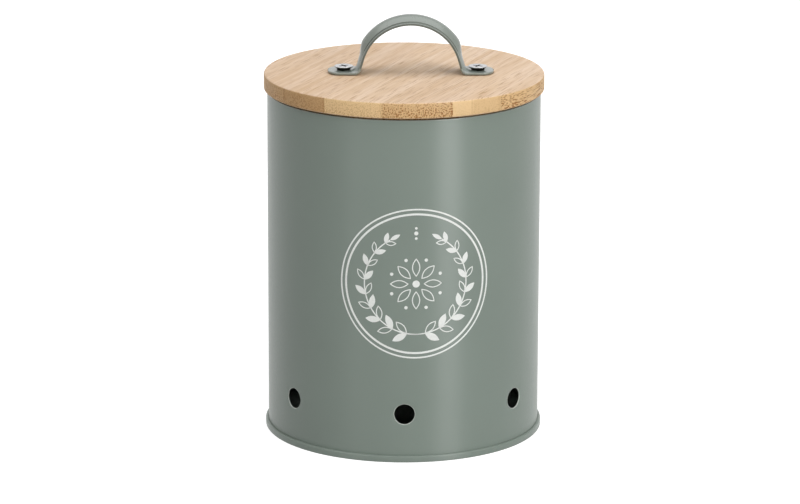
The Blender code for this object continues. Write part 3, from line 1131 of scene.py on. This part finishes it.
@dataclass
class Screw:
    """A countersunk wood screw with a cross recess."""

    head_top: Vector
    head_diameter: float = 8.2 * MM
    head_rim: float = 0.2 * MM
    rim_round: float = 0.08 * MM
    shank_diameter: float = 3.5 * MM
    length: float = 12 * MM
    point_length: float = 3 * MM
    recess_length: float = 4.6 * MM
    recess_width: float = 1.0 * MM
    recess_depth: float = 1.5 * MM
    recess_floor_share: float = 0.4
    recess_reach: float = 3.6 * MM
    segments: int = 64

    @classmethod
    def from_frame(cls, side: Side) -> "Screw":
        """Reads where a screw's head is from the frame."""
        low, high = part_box(side.screw_node)
        return cls(head_top=Vector(((low.x + high.x) / 2, (low.y + high.y) / 2, high.z)))

    def outline(self, clearance: float) -> list[Corner]:
        """Draws the screw's outline from the head's top, at height 0.

        Args:
            clearance: How much wider and longer it is drawn, for the screw's hole.

        Returns:
            The outline, as turned takes it.
        """
        head = self.head_diameter / 2 + clearance
        shank = self.shank_diameter / 2 + clearance
        tip = -self.length - clearance
        edge = 0 if clearance else self.rim_round
        return [
            (0, 0, 0),
            (head, 0, edge),
            (head, -self.head_rim, edge),
            (shank, -self.head_rim - (head - shank), 0),
            (shank, tip + self.point_length, 0),
            (0, tip, 0),
        ]

    def hole(self) -> BMesh:
        """Makes the shape that cuts the screw's hole into the board.

        Returns:
            The hole's shape.
        """
        shape = turned(self.outline(FIT_GAP), closed=False, segments=self.segments)
        bmesh.ops.translate(shape, verts=shape.verts, vec=self.head_top)
        return shape

    def wing(self, turn: float) -> BMesh:
        """Makes one of the two crossed slots of the recess, shorter at its floor than at the head's top.

        Args:
            turn: The slot's angle from x.

        Returns:
            The slot's shape, which stands out of the head as far as it reaches in.
        """
        shape = bmesh.new()
        size = Matrix.Diagonal((self.recess_length, self.recess_width, 2 * self.recess_depth, 1))
        bmesh.ops.create_cube(shape, size=1, matrix=size)
        # Half of the slot's shape stands above the head, so its full length falls on the head's top.
        for vert in shape.verts:
            vert.co.x *= self.recess_floor_share if vert.co.z < 0 else 2 - self.recess_floor_share
        bmesh.ops.transform(shape, verts=shape.verts,
                            matrix=Matrix.Translation(self.head_top) @ Matrix.Rotation(turn, 4, "Z"))
        return shape

    def build(self, side: Side, turn: float) -> None:
        """Adds the screw, with its recess turned as it was left when driven home.

        Args:
            side: The foot that it is in.
            turn: The recess's angle from x.
        """
        shape = turned(self.outline(0), closed=False, segments=self.segments)
        bmesh.ops.translate(shape, verts=shape.verts, vec=self.head_top)
        shape = carved(shape, [self.wing(turn), self.wing(turn + QUARTER_TURN)])
        # Faces in the recess and under the head are marked for the dark plate, which is painted shade.
        for face in shape.faces:
            from_head = face.calc_center_median() - self.head_top
            in_recess = from_head.z < -self.rim_round / 2 and from_head.xy.length < self.recess_reach
            below = from_head.z < -self.head_rim - self.rim_round
            face.material_index = Area.EDGE if in_recess or below else Area.MAIN
        word = side.name.lower()
        centre = tuple(self.head_top)
        plate = ZincPlate(f"zinc_plate_{word}", centre).make()
        # The recess and the cone under the head get a dark plate, which is painted shade for the shadow
        # there.
        painted_shade_plate = ZincPlate(f"dull_zinc_{word}", centre, colour="5A5A57").make()
        add_piece(side.screw_node + "_turned", shape, Body.LID, [plate, painted_shade_plate],
                  side.screw_node)


@dataclass
class Handle:
    """The strap handle: ribbed sheet bent to an arch, with a flat foot at each end.

    Lengths along the strap are measured on its underside from the crown.
    """

    centre: Vector
    sheet: float = 1.0 * MM
    width: float = 14 * MM
    arch_radius: float = 21.35 * MM
    arch_angle: float = radians(74)
    leg_length: float = 4.5 * MM
    bend_radius: float = 2.0 * MM
    foot_length: float = 11.8 * MM
    foot_width: float = 14.5 * MM
    tip_length: float = 5 * MM
    rib_rise: float = 2.8 * MM
    rib_margin: float = 3.2 * MM
    rib_step_width: float = 0.5 * MM
    rib_step_share: float = 0.28
    rib_fade_start_share: float = 0.75
    rib_leg_share: float = 0.42
    gusset_radius: float = 3.4 * MM
    hole_radius: float = 2.9 * MM
    hole_from_tip: float = 7.05 * MM
    hole_block_half_length: float = 3.9 * MM
    hole_block_half_width: float = 4.68 * MM
    edge_round: float = 0.25 * MM
    cut_face_lean: float = 0.8
    arch_steps: int = 60
    leg_steps: int = 8
    bend_steps: int = 14
    gusset_steps: int = 6
    foot_steps: int = 8
    tip_steps: int = 14
    section_steps: int = 5
    tip_end_angle: float = radians(86)

    @classmethod
    def from_frame(cls) -> "Handle":
        """Reads the handle's middle and its underside from the frame."""
        low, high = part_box("handle")
        return cls(centre=Vector(((low.x + high.x) / 2, (low.y + high.y) / 2, low.z)))

    @property
    def arch_length(self) -> float:
        """The arch's length from the crown."""
        return self.arch_radius * self.arch_angle

    @property
    def outer_bend(self) -> float:
        """The radius of the foot's bend on the strap's underside."""
        return self.bend_radius + self.sheet

    @property
    def foot_start(self) -> float:
        """The length along the strap at which the flat foot starts."""
        return self.arch_length + self.leg_length + self.outer_bend * self.arch_angle

    @property
    def foot_x(self) -> float:
        """How far from the handle's middle the flat foot starts."""
        return ((self.arch_radius + self.outer_bend) * sin(self.arch_angle)
                + self.leg_length * cos(self.arch_angle))

    @property
    def arch_height(self) -> float:
        """The underside's height at the crown, above the feet."""
        return ((self.arch_radius + self.outer_bend) * (1 - cos(self.arch_angle))
                + self.leg_length * sin(self.arch_angle))

    def path(self, reach: float) -> tuple[float, float, float]:
        """Where the underside is at a length along the strap.

        Args:
            reach: The length from the crown.

        Returns:
            The distance from the middle, the height above the feet and the tilt from level.
        """
        if reach <= self.arch_length:
            tilt = reach / self.arch_radius
            drop = self.arch_radius * (1 - cos(tilt))
            return self.arch_radius * sin(tilt), self.arch_height - drop, tilt
        past = reach - self.arch_length
        if past <= self.leg_length:
            x = self.arch_radius * sin(self.arch_angle) + past * cos(self.arch_angle)
            drop = self.arch_radius * (1 - cos(self.arch_angle)) + past * sin(self.arch_angle)
            return x, self.arch_height - drop, self.arch_angle
        tilt = max(self.arch_angle - (past - self.leg_length) / self.outer_bend, 0.0)
        x = self.foot_x - self.outer_bend * sin(tilt) + max(reach - self.foot_start, 0.0)
        return x, self.outer_bend * (1 - cos(tilt)), tilt

    @property
    def gusset_reach(self) -> float:
        """Works out how far along the foot the gusset's crown line ends.

        Returns:
            The length from the start of the flat foot.
        """
        rib = self.rib_rise * self.rib_leg_share
        spread = (self.gusset_radius - self.bend_radius) * (1 - cos(self.arch_angle))
        return (spread + rib) / sin(self.arch_angle)

    def rise(self, reach: float) -> float:
        """How high the rib's crown stands at a length along the strap.

        It fades from the arch's crown to the leg. Past that its crown line is the gusset's arc, which is
        tangent to the leg and to the foot.

        Args:
            reach: The length from the crown.

        Returns:
            The rise off the strap's plain line.
        """
        if reach <= self.arch_length:
            start = self.rib_fade_start_share
            fade = eased((reach / self.arch_length - start) / (1 - start))
            return self.rib_rise * (1 - (1 - self.rib_leg_share) * fade)
        radius = self.gusset_radius + self.sheet
        x, z, tilt = self.path(reach)
        from_centre = Vector((x - self.foot_x - self.gusset_reach, z - radius))
        along = from_centre.dot(Vector((cos(tilt), -sin(tilt))))
        if reach <= self.arch_length + self.leg_length:
            along = max(along, 0.0)
        if x >= self.foot_x:
            along = min(along, 0.0)
        return -from_centre.dot(Vector((sin(tilt), cos(tilt)))) - sqrt(radius ** 2 - along ** 2)

    def stations(self) -> list[tuple[float, float, float]]:
        """The strap's cross-sections from the crown to a foot's tip.

        Returns:
            The length along the strap, the half width and the rib's rise at each.
        """
        bend_start = self.arch_length + self.leg_length
        tip_start = self.foot_start + self.foot_length - self.tip_length
        gusset_end = self.foot_start + self.gusset_reach
        stretches = (
            (0.0, self.arch_length, self.arch_steps),
            (self.arch_length, bend_start, self.leg_steps),
            (bend_start, self.foot_start, self.bend_steps),
            (self.foot_start, gusset_end, self.gusset_steps),
            (gusset_end, tip_start, self.foot_steps),
        )
        stations = []
        for first, last, steps in stretches:
            for step in range(steps):
                reach = first + (last - first) * step / steps
                share = eased((reach - self.arch_length) / (self.foot_start - self.arch_length))
                half_width = (self.width + (self.foot_width - self.width) * share) / 2
                stations.append((reach, half_width, self.rise(reach)))
        for step in range(self.tip_steps + 1):
            angle = self.tip_end_angle * step / self.tip_steps
            reach = tip_start + self.tip_length * sin(angle) / sin(self.tip_end_angle)
            stations.append((reach, self.foot_width / 2 * cos(angle), 0.0))
        return stations

    def section(self) -> list[tuple[float, float]]:
        """Draws the line across the strap: a flat margin at each edge, and a step up to a low dome.

        Returns:
            Points, as shares of the strap's half width and of the rib's height.
        """
        half = self.width / 2
        margin = (half - self.rib_margin) / half
        dome = (half - self.rib_margin - self.rib_step_width) / half
        side = [(1.0, 0.0)]
        for step in range(self.section_steps + 1):
            share = step / self.section_steps
            side.append((margin + (dome - margin) * share, self.rib_step_share * eased(share)))
        for step in range(1, self.section_steps + 1):
            outward = 1 - step / self.section_steps
            side.append((dome * outward, 1 - (1 - self.rib_step_share) * outward ** 2))
        return [(-share, rise) for share, rise in side] + side[-2::-1]

    def skin(self, shape: BMesh) -> dict[BMVert, tuple[float, float]]:
        """Draws the strap's underside, as a grid that is bent and ribbed.

        Args:
            shape: The mesh that gets the skin.

        Returns:
            Each point's place along and across the strap, as if it lay flat.
        """
        half = self.stations()
        stations = [(-1, *station) for station in half[:0:-1]] + [(1, *station) for station in half]
        section = self.section()
        bmesh.ops.create_grid(shape, x_segments=len(stations) - 1, y_segments=len(section) - 1, size=1)
        places = {}
        for vert in shape.verts:
            column = round((vert.co.x + 1) / 2 * (len(stations) - 1))
            row = round((vert.co.y + 1) / 2 * (len(section) - 1))
            side, reach, half_width, crown_rise = stations[column]
            width_share, rise_share = section[row]
            places[vert] = (side * reach, width_share * self.foot_width / 2)
            x, z, tilt = self.path(reach)
            rise = crown_rise * rise_share
            x += rise * sin(tilt)
            z += rise * cos(tilt)
            vert.co = Vector((side * x, width_share * half_width, z))
        return places

    def punch_feet(self, shape: BMesh, places: dict[BMVert, tuple[float, float]]) -> None:
        """Punches the screw's hole in each foot.

        Args:
            shape: The strap's skin.
            places: Where its points lie on the flat strap.
        """
        from_foot = self.foot_length - self.hole_from_tip
        blocks = {}
        for side in Side:
            along = side.value * (self.foot_start + from_foot)
            near = {vert for vert, (x, y) in places.items()
                    if abs(x - along) < self.hole_block_half_length
                    and abs(y) < self.hole_block_half_width}
            blocks[side] = [face for face in shape.faces if near.issuperset(face.verts)]
        for side, block in blocks.items():
            middle = side.value * (self.foot_x + from_foot)
            punch(shape, block, self.hole_radius, lambda x, y, centre=middle: Vector((centre + x, y, 0)))

    def strap(self) -> BMesh:
        """Bends and ribs the strap, punches its feet and rounds its edges.

        Returns:
            The strap at its place.
        """
        shape = bmesh.new()
        self.punch_feet(shape, self.skin(shape))
        bmesh.ops.recalc_face_normals(shape, faces=shape.faces)
        if sum(face.normal.z for face in shape.faces) < 0:
            bmesh.ops.reverse_faces(shape, faces=shape.faces)
        bmesh.ops.solidify(shape, geom=shape.faces[:], thickness=-self.sheet)
        bmesh.ops.recalc_face_normals(shape, faces=shape.faces)
        round_edges(shape, sharp_edges(shape), self.edge_round)
        # The arch's cut edges are marked for the dark coat, which is painted shade.
        for face in shape.faces:
            if abs(face.normal.y) > self.cut_face_lean and face.calc_center_median().z > self.outer_bend:
                face.material_index = Area.EDGE
        bmesh.ops.translate(shape, verts=shape.verts, vec=self.centre)
        return shape

    def build(self, coat: Material, cut_edge_painted_shade: Material) -> None:
        """Adds the strap.

        Args:
            coat: The handle's paint.
            cut_edge_painted_shade: A darker paint on the arch's cut edges, which is painted shade.
        """
        add_piece("handle_strap", self.strap(), Body.LID, [coat, cut_edge_painted_shade], "handle")


@dataclass
class Lid:
    """The lid: a board turned with a plug below, and the seal in the plug's groove."""

    radius: float
    underside: float
    top: float
    plug_bottom: float
    mouth_radius: float
    screws: Sequence[Screw]
    segments: int = 256
    top_corner: float = 0.8 * MM
    lower_corner: float = 0.7 * MM
    plug_gap: float = 2.5 * MM
    plug_corner: float = 1 * MM
    groove_drop: float = 3.2 * MM
    groove_height: float = 4 * MM
    groove_depth: float = 2.2 * MM
    lip_stand: float = 0.4 * MM
    lip_root: float = 1 * MM
    lip_tip: float = 0.5 * MM
    lip_round_share: float = 1 / 3
    lip_lift: float = 0.7 * MM
    stand: float = 0.8 * MM

    @classmethod
    def from_frame(cls, can: Can, screws: Sequence[Screw]) -> "Lid":
        """Reads the board's outer sizes from the frame.

        Args:
            can: The can that the lid closes.
            screws: The screws that go into it.

        Returns:
            The lid.
        """
        low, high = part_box("lid_board")
        return cls(radius=high.x, underside=can.top + cls.stand, top=high.z, plug_bottom=low.z,
                   mouth_radius=can.radius - 2 * can.sheet, screws=screws)

    @property
    def plug_radius(self) -> float:
        """The plug's radius."""
        return self.mouth_radius - self.plug_gap

    @property
    def groove_radius(self) -> float:
        """The radius of the groove's floor."""
        return self.plug_radius - self.groove_depth

    def board(self) -> BMesh:
        """Turns the board with its plug and groove, and drills the screws' holes.

        Returns:
            The board.
        """
        groove_top = self.underside - self.groove_drop
        groove_bottom = groove_top - self.groove_height
        corners = [
            (0, self.top, 0),
            (self.radius, self.top, self.top_corner),
            (self.radius, self.underside, self.lower_corner),
            (self.plug_radius, self.underside, 0),
            (self.plug_radius, groove_top, 0),
            (self.groove_radius, groove_top, 0),
            (self.groove_radius, groove_bottom, 0),
            (self.plug_radius, groove_bottom, 0),
            (self.plug_radius, self.plug_bottom, self.plug_corner),
            (0, self.plug_bottom, 0),
        ]
        shape = turned(corners, closed=False, segments=self.segments)
        return carved(shape, [screw.hole() for screw in self.screws])

    def seal(self) -> BMesh:
        """Moulds the seal: a band in the groove with two lips that rise towards the mouth.

        Returns:
            The seal.
        """
        inner = self.groove_radius + FIT_GAP
        root = self.plug_radius + self.lip_stand
        tip = self.mouth_radius - FIT_GAP
        high = self.underside - self.groove_drop - FIT_GAP
        low = self.underside - self.groove_drop - self.groove_height + FIT_GAP
        corners = [(inner, high, 0), (inner, low, 0)]
        rounding = self.lip_tip * self.lip_round_share
        for lip in (low, high - self.lip_root):
            corners += [
                (root, lip, 0),
                (tip, lip + self.lip_lift, rounding),
                (tip, lip + self.lip_lift + self.lip_tip, rounding),
                (root, lip + self.lip_root, 0),
            ]
        return turned(corners, closed=True, segments=self.segments)

    def build(self) -> None:
        """Adds the board, with its grain laid out on its own sizes, and the seal."""
        bamboo = Bamboo("laminated_bamboo", self.radius, self.underside, self.top).make()
        silicone = Silicone("milky_silicone").make()
        add_piece("lid_board_bamboo", self.board(), Body.LID, [bamboo], "lid_board")
        add_piece("lid_seal_ring", self.seal(), Body.SEAL, [silicone], "lid_seal")


@dataclass(frozen=True)
class Softbox:
    """A rectangular studio lamp on a sphere round the object.

    Its azimuth counts from the front to the right. One that isn't mirrored lights the object and leaves no
    bright shape in its gloss.
    """

    name: str
    azimuth: float
    elevation: float
    width: float
    height: float
    power: float
    distance: float
    mirrored: bool = True

    def build(self, target: Vector) -> None:
        """Adds the lamp, pointed at a target.

        Args:
            target: The point that it lights.
        """
        lamp = bpy.data.lights.new(self.name, "AREA")
        lamp.shape = "RECTANGLE"
        lamp.size = self.width
        lamp.size_y = self.height
        lamp.energy = self.power
        holder = place_object(self.name, lamp)
        away = polar(self.distance * cos(self.elevation), self.azimuth - QUARTER_TURN)
        away.z = self.distance * sin(self.elevation)
        holder.location = target + away
        holder.rotation_euler = away.to_track_quat("Z", "Y").to_euler()
        holder.visible_glossy = self.mirrored


@dataclass
class Studio:
    """The floor, the backdrop, the lamps and the camera.

    The lamps' sizes and places are in metres and their powers in watts. The camera's are in metres and
    radians, its focal length in pixels of the picture, and its sensor and lens in millimetres.
    """

    floor_size: float = 12.0
    floor_level: float = 0.5
    floor_roughness: float = 0.9
    floor_glow: float = 0.8
    fill: float = 0.055
    target_height: float = 0.09
    picture_width: int = 800
    focal_pixels: float = 4218.0
    sensor_width: float = 36.0
    view_limit: float = 100.0
    camera_back: float = 1.80888
    camera_height: float = 0.56334
    camera_tilt: float = 0.26194
    camera_pan: float = 0.00087
    camera_roll: float = 0.0028
    object_turn: float = radians(-0.58)
    softboxes: tuple[Softbox, ...] = (
        Softbox("key_box", radians(37.5), radians(12), 0.65, 1.5, 22.0, 2.0),
        Softbox("left_box", radians(-40), radians(12), 0.5, 1.5, 2.7, 2.0),
        Softbox("low_box", radians(0), radians(8), 2.4, 0.8, 2.8, 2.6),
        Softbox("top_box", radians(0), radians(79), 5.0, 3.2, 75.0, 2.6),
        Softbox("back_left_box", radians(-164), radians(15), 0.6, 1.2, 5.5, 2.0, mirrored=False),
        Softbox("back_right_box", radians(164), radians(15), 0.6, 1.2, 5.5, 2.0, mirrored=False),
    )

    def shown(self, tree: NodeTree) -> Socket:
        """Tells the rays that show the backdrop itself, straight or through gloss or glass.

        Args:
            tree: The node tree that asks.

        Returns:
            1 on such rays and 0 on all others.
        """
        path = add_node(tree, "ShaderNodeLightPath")
        rays = path.outputs["Is Camera Ray"]
        for kind in ("Is Glossy Ray", "Is Transmission Ray"):
            rays = add_node(tree, "ShaderNodeMath", {0: rays, 1: path.outputs[kind]},
                            operation="MAXIMUM").outputs["Value"]
        return rays

    def world(self) -> None:
        """A white backdrop to look at, and a plain grey fill as light."""
        world = bpy.data.worlds.new("studio")
        world.use_nodes = True
        tree = world.node_tree
        level = add_node(tree, "ShaderNodeMapRange",
                         {"Value": self.shown(tree), "To Min": self.fill, "To Max": 1.0})
        background = tree.nodes["Background"]
        background.inputs["Color"].default_value = grey(1.0)
        tree.links.new(level.outputs["Result"], background.inputs["Strength"])
        bpy.context.scene.world = world

    def floor(self) -> None:
        """A pale floor that shows white, with the object's shadow on it."""
        shape = bmesh.new()
        bmesh.ops.create_grid(shape, x_segments=1, y_segments=1, size=self.floor_size / 2)
        mesh = make_mesh("studio_floor", shape)
        material = bpy.data.materials.new("pale_floor")
        material.use_nodes = True
        tree = material.node_tree
        shader = tree.nodes["Principled BSDF"]
        shader.inputs["Base Color"].default_value = grey(self.floor_level)
        shader.inputs["Roughness"].default_value = self.floor_roughness
        glow = add_node(tree, "ShaderNodeMath", {0: self.shown(tree), 1: self.floor_glow},
                        operation="MULTIPLY")
        shader.inputs["Emission Color"].default_value = grey(1.0)
        tree.links.new(glow.outputs["Value"], shader.inputs["Emission Strength"])
        mesh.materials.append(material)
        place_object("studio_floor", mesh)

    def camera(self) -> None:
        """The camera at the photograph's place."""
        lens = bpy.data.cameras.new("camera")
        lens.lens = self.focal_pixels * self.sensor_width / self.picture_width
        lens.sensor_width = self.sensor_width
        lens.clip_end = self.view_limit
        camera = place_object("camera", lens)
        camera.matrix_world = (
            Matrix.Rotation(self.object_turn, 4, "Z")
            @ Matrix.Translation((0, -self.camera_back, self.camera_height))
            @ Matrix.Rotation(self.camera_pan, 4, "Z")
            @ Matrix.Rotation(QUARTER_TURN - self.camera_tilt, 4, "X")
            @ Matrix.Rotation(self.camera_roll, 4, "Z")
        )
        bpy.context.scene.camera = camera

    def build(self) -> None:
        """Adds the whole studio."""
        bpy.context.scene.view_settings.view_transform = "Standard"
        self.world()
        self.floor()
        self.camera()
        for softbox in self.softboxes:
            softbox.build(Vector((0, 0, self.target_height)))


def main() -> None:
    """Builds the keeper and its studio."""
    logging.basicConfig(level=logging.INFO, format="%(message)s")
    Studio().build()
    coat = PowderCoat("powder_coat", lie=0.85).make()
    # Sprayed thicker on the small parts and pooled on the hem, it mirrors the studio more clearly.
    thick_coat = PowderCoat("glossy_powder_coat", colour="7A837B", roughness=0.3, ior=1.6,
                            gloss=0.6).make()
    # On the arch's cut edges the coat is drawn dark: painted shade where the edges sit in shadow.
    cut_edge_painted_shade = PowderCoat("painted_shade_on_cut_edge", colour="565C54", roughness=0.5).make()
    # Over a punched rim the paint is worn thin, and it is drawn pale as a painted highlight where the rim
    # catches light, which rings each vent with a pale line.
    rim_wear_and_highlight = PowderCoat("worn_and_painted_highlight_rim", colour="C6CDC4").make()
    can = Can.from_frame()
    can.build(coat, rim_wear_and_highlight, thick_coat)
    FrontPrint(can).build(ScreenInk("screen_ink").make())
    screws = {side: Screw.from_frame(side) for side in Side}
    Lid.from_frame(can, list(screws.values())).build()
    Handle.from_frame().build(thick_coat, cut_edge_painted_shade)
    turns = {Side.LEFT: radians(28), Side.RIGHT: radians(64)}
    for side, screw in screws.items():
        screw.build(side, turns[side])


if __name__ == "__main__":
    main()
